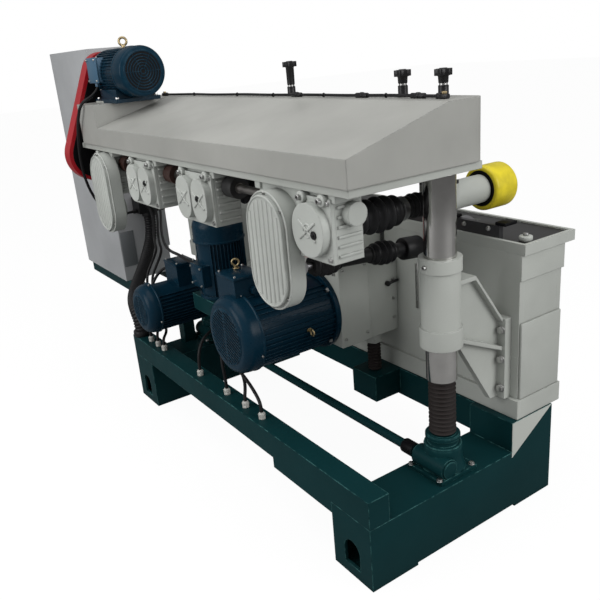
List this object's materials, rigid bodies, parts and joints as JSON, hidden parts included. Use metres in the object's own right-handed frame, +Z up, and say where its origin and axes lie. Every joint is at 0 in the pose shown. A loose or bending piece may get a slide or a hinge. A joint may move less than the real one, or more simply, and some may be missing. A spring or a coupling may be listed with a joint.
{
  "type": "spindle moulder",
  "caption": "Through-feed spindle moulder with a column-guided feed beam, roller drive gearboxes, spindle motors on sliding heads, a cast bed and a switch cabinet.",
  "frame": {"origin": "on the floor, midway between the four anchor holes of the two feet", "axes": "+X along the machine to the outfeed end, +Y from the drive side to the operator's side, +Z up"},
  "size_m": [3.129, 0.979, 1.681],
  "materials": {
    "base_green": "semi-gloss enamel",
    "cast_cream": "semi-gloss enamel over a casting",
    "cover_grey": "textured powder coat",
    "motor_blue": "gloss enamel",
    "guard_red": "gloss enamel",
    "bright_steel": "ground",
    "dark_steel": "blackened",
    "table_steel": "planed and rusted a little",
    "bellows_rubber": "matte",
    "boot_rubber": "matte",
    "cable_black": "satin",
    "conduit_black": "satin",
    "gland_white": "moulded",
    "knob_black": "moulded",
    "roller_yellow": "cast polyurethane",
    "box_black": "satin"
  },
  "bodies": {
    "base": {"foot_left": "base_green", "foot_right": "base_green", "front_beam": "base_green", "rear_beam": "base_green", "bed": "cast_cream", "table_plate": "table_steel", "cabinet_arms": "base_green", "lift_jacks": "base_green", "column_sleeves": "cast_cream", "sleeve_bolts": "cast_cream", "column_bellows": "bellows_rubber", "screw_bellows": "bellows_rubber", "cabinet_body": "cover_grey", "cable_box": "box_black", "cable_glands": "gland_white", "main_conduit": "conduit_black", "gland_leads": "cable_black", "feed_motor_cable": "cable_black", "side_motor_cable": "cable_black", "infeed_motor_cable": "cable_black"},
    "beam": {"guide_columns": "bright_steel", "lift_screws": "dark_steel", "beam_casting": "cast_cream", "beam_cover": "cover_grey", "feed_gearboxes": "cast_cream", "gearbox_covers": "cast_cream", "feed_motor": "motor_blue", "belt_guard": "guard_red", "feed_belt": "cable_black", "air_hoses": "cable_black"},
    "lift_shaft": {"lift_shaft": "base_green"},
    "line_shaft": {"line_shaft": "dark_steel"},
    "feed_rotor": {"feed_rotor": "dark_steel"},
    "arm_1": {"roller_arm_1": "cast_cream"},
    "arm_2": {"roller_arm_2": "cast_cream"},
    "arm_3": {"roller_arm_3": "cast_cream"},
    "roller_1": {"feed_roller_1": "dark_steel"},
    "roller_2": {"feed_roller_2": "dark_steel"},
    "roller_3": {"feed_roller_3": "dark_steel", "roller_tyre": "roller_yellow"},
    "cardan_yoke": {"cardan_yoke": "dark_steel"},
    "lower_cardan": {"lower_cardan": "boot_rubber"},
    "lower_roller": {"lower_roller": "bright_steel"},
    "main_head": {"main_carriage": "cast_cream", "main_motor": "motor_blue", "main_belt": "cable_black"},
    "main_rotor": {"main_rotor": "dark_steel"},
    "main_cutter": {"main_cutter": "bright_steel"},
    "infeed_head": {"infeed_carriage": "cast_cream", "infeed_motor": "motor_blue"},
    "infeed_rotor": {"infeed_rotor": "dark_steel"},
    "infeed_cutter": {"infeed_cutter": "bright_steel"},
    "side_head": {"side_bracket": "base_green", "side_motor": "motor_blue"},
    "side_rotor": {"side_rotor": "dark_steel"},
    "side_cutter": {"side_cutter": "bright_steel"},
    "knob_1": {"knob_1": "knob_black"},
    "knob_2": {"knob_2": "knob_black"},
    "knob_3": {"knob_3": "knob_black"},
    "door": {"cabinet_door": "cover_grey"}
  },
  "joints": [
    {"name": "beam_lift", "type": "slide", "parent": "base", "child": "beam", "axis": [0, 0, 1], "range_m": [-0.05, 0.11], "deforming": ["column_bellows", "feed_motor_cable"]},
    {"name": "lift_turn", "type": "hinge", "parent": "base", "child": "lift_shaft", "pos_m": [0, -0.062, 0.268], "axis": [1, 0, 0], "range_deg": [-1801, 3961]},
    {"name": "feed_turn", "type": "hinge", "parent": "beam", "child": "line_shaft", "pos_m": [0, -0.32, 1.16], "axis": [1, 0, 0], "continuous": true},
    {"name": "feed_motor_turn", "type": "hinge", "parent": "beam", "child": "feed_rotor", "pos_m": [-1.29, -0.209, 1.557], "axis": [1, 0, 0], "continuous": true},
    {"name": "arm_float_1", "type": "slide", "parent": "beam", "child": "arm_1", "axis": [0, 0, 1], "range_m": [0, 0.012]},
    {"name": "roller_turn_1", "type": "hinge", "parent": "arm_1", "child": "roller_1", "pos_m": [-0.536, 0.2, 1.11], "axis": [0, 1, 0], "continuous": true},
    {"name": "arm_float_2", "type": "slide", "parent": "beam", "child": "arm_2", "axis": [0, 0, 1], "range_m": [0, 0.012]},
    {"name": "roller_turn_2", "type": "hinge", "parent": "arm_2", "child": "roller_2", "pos_m": [-0.042, 0.2, 1.11], "axis": [0, 1, 0], "continuous": true},
    {"name": "arm_float_3", "type": "slide", "parent": "beam", "child": "arm_3", "axis": [0, 0, 1], "range_m": [0, 0.012]},
    {"name": "roller_turn_3", "type": "hinge", "parent": "arm_3", "child": "roller_3", "pos_m": [0.69, 0.2, 1.11], "axis": [0, 1, 0], "continuous": true},
    {"name": "cardan_swing", "type": "hinge", "parent": "beam", "child": "cardan_yoke", "pos_m": [0.498, -0.33, 0.945], "axis": [1, 0, 0], "range_deg": [-13.2, 6]},
    {"name": "cardan_turn", "type": "hinge", "parent": "cardan_yoke", "child": "lower_cardan", "pos_m": [0.498, -0.33, 0.945], "axis": [0, 0.9962, -0.0872], "continuous": true},
    {"name": "lower_roller_turn", "type": "hinge", "parent": "base", "child": "lower_roller", "pos_m": [0.498, 0.3, 0.903], "axis": [0, 1, 0], "continuous": true},
    {"name": "main_height", "type": "slide", "parent": "base", "child": "main_head", "axis": [0, 0, 1], "range_m": [-0.02, 0.005], "deforming": ["screw_bellows"]},
    {"name": "main_turn", "type": "hinge", "parent": "main_head", "child": "main_rotor", "pos_m": [0.163, -0.1, 0.641], "axis": [0, 1, 0], "continuous": true},
    {"name": "main_cutter_turn", "type": "hinge", "parent": "main_head", "child": "main_cutter", "pos_m": [0.163, 0.1, 0.898], "axis": [0, 1, 0], "continuous": true},
    {"name": "infeed_height", "type": "slide", "parent": "base", "child": "infeed_head", "axis": [0, 0, 1], "range_m": [-0.02, 0.005], "deforming": ["infeed_motor_cable"]},
    {"name": "infeed_turn", "type": "hinge", "parent": "infeed_head", "child": "infeed_rotor", "pos_m": [-0.641, -0.1, 0.534], "axis": [0, 1, 0], "continuous": true},
    {"name": "infeed_cutter_turn", "type": "hinge", "parent": "infeed_head", "child": "infeed_cutter", "pos_m": [-0.641, 0.1, 0.898], "axis": [0, 1, 0], "continuous": true},
    {"name": "side_height", "type": "slide", "parent": "base", "child": "side_head", "axis": [0, 0, 1], "range_m": [-0.005, 0.02], "deforming": ["side_motor_cable"]},
    {"name": "side_turn", "type": "hinge", "parent": "side_head", "child": "side_rotor", "pos_m": [-0.285, -0.2, 0.7], "axis": [0, 0, 1], "continuous": true},
    {"name": "side_cutter_turn", "type": "hinge", "parent": "side_head", "child": "side_cutter", "pos_m": [-0.285, 0.25, 0.7], "axis": [0, 0, 1], "continuous": true},
    {"name": "knob_turn_1", "type": "hinge", "parent": "beam", "child": "knob_1", "pos_m": [-0.041, 0.062, 1.45], "axis": [0, 0, 1], "range_deg": [0, 1080]},
    {"name": "knob_turn_2", "type": "hinge", "parent": "beam", "child": "knob_2", "pos_m": [0.581, 0.062, 1.45], "axis": [0, 0, 1], "range_deg": [0, 1080]},
    {"name": "knob_turn_3", "type": "hinge", "parent": "beam", "child": "knob_3", "pos_m": [0.754, 0.062, 1.45], "axis": [0, 0, 1], "range_deg": [0, 1080]},
    {"name": "door_swing", "type": "hinge", "parent": "base", "child": "door", "pos_m": [-2.197, 0.127, 1.1], "axis": [0, 0, 1], "range_deg": [0, 110]}
  ],
  "couplings": [
    {"joint": "lift_turn", "follows": "beam_lift", "rad_per_m": 628.32},
    {"joint": "cardan_swing", "follows": "beam_lift", "rad_per_m": -2.0833},
    {"joint": "feed_motor_turn", "follows": "feed_turn", "ratio": 1.4423},
    {"joint": "roller_turn_1", "follows": "feed_turn", "ratio": 0.1},
    {"joint": "roller_turn_2", "follows": "feed_turn", "ratio": 0.1},
    {"joint": "roller_turn_3", "follows": "feed_turn", "ratio": 0.1},
    {"joint": "cardan_turn", "follows": "feed_turn", "ratio": -0.1293},
    {"joint": "lower_roller_turn", "follows": "feed_turn", "ratio": -0.1293},
    {"joint": "main_cutter_turn", "follows": "main_turn", "ratio": 1.1905},
    {"joint": "infeed_cutter_turn", "follows": "infeed_turn", "ratio": 1.1905},
    {"joint": "side_cutter_turn", "follows": "side_turn", "ratio": 1.1905}
  ]
}
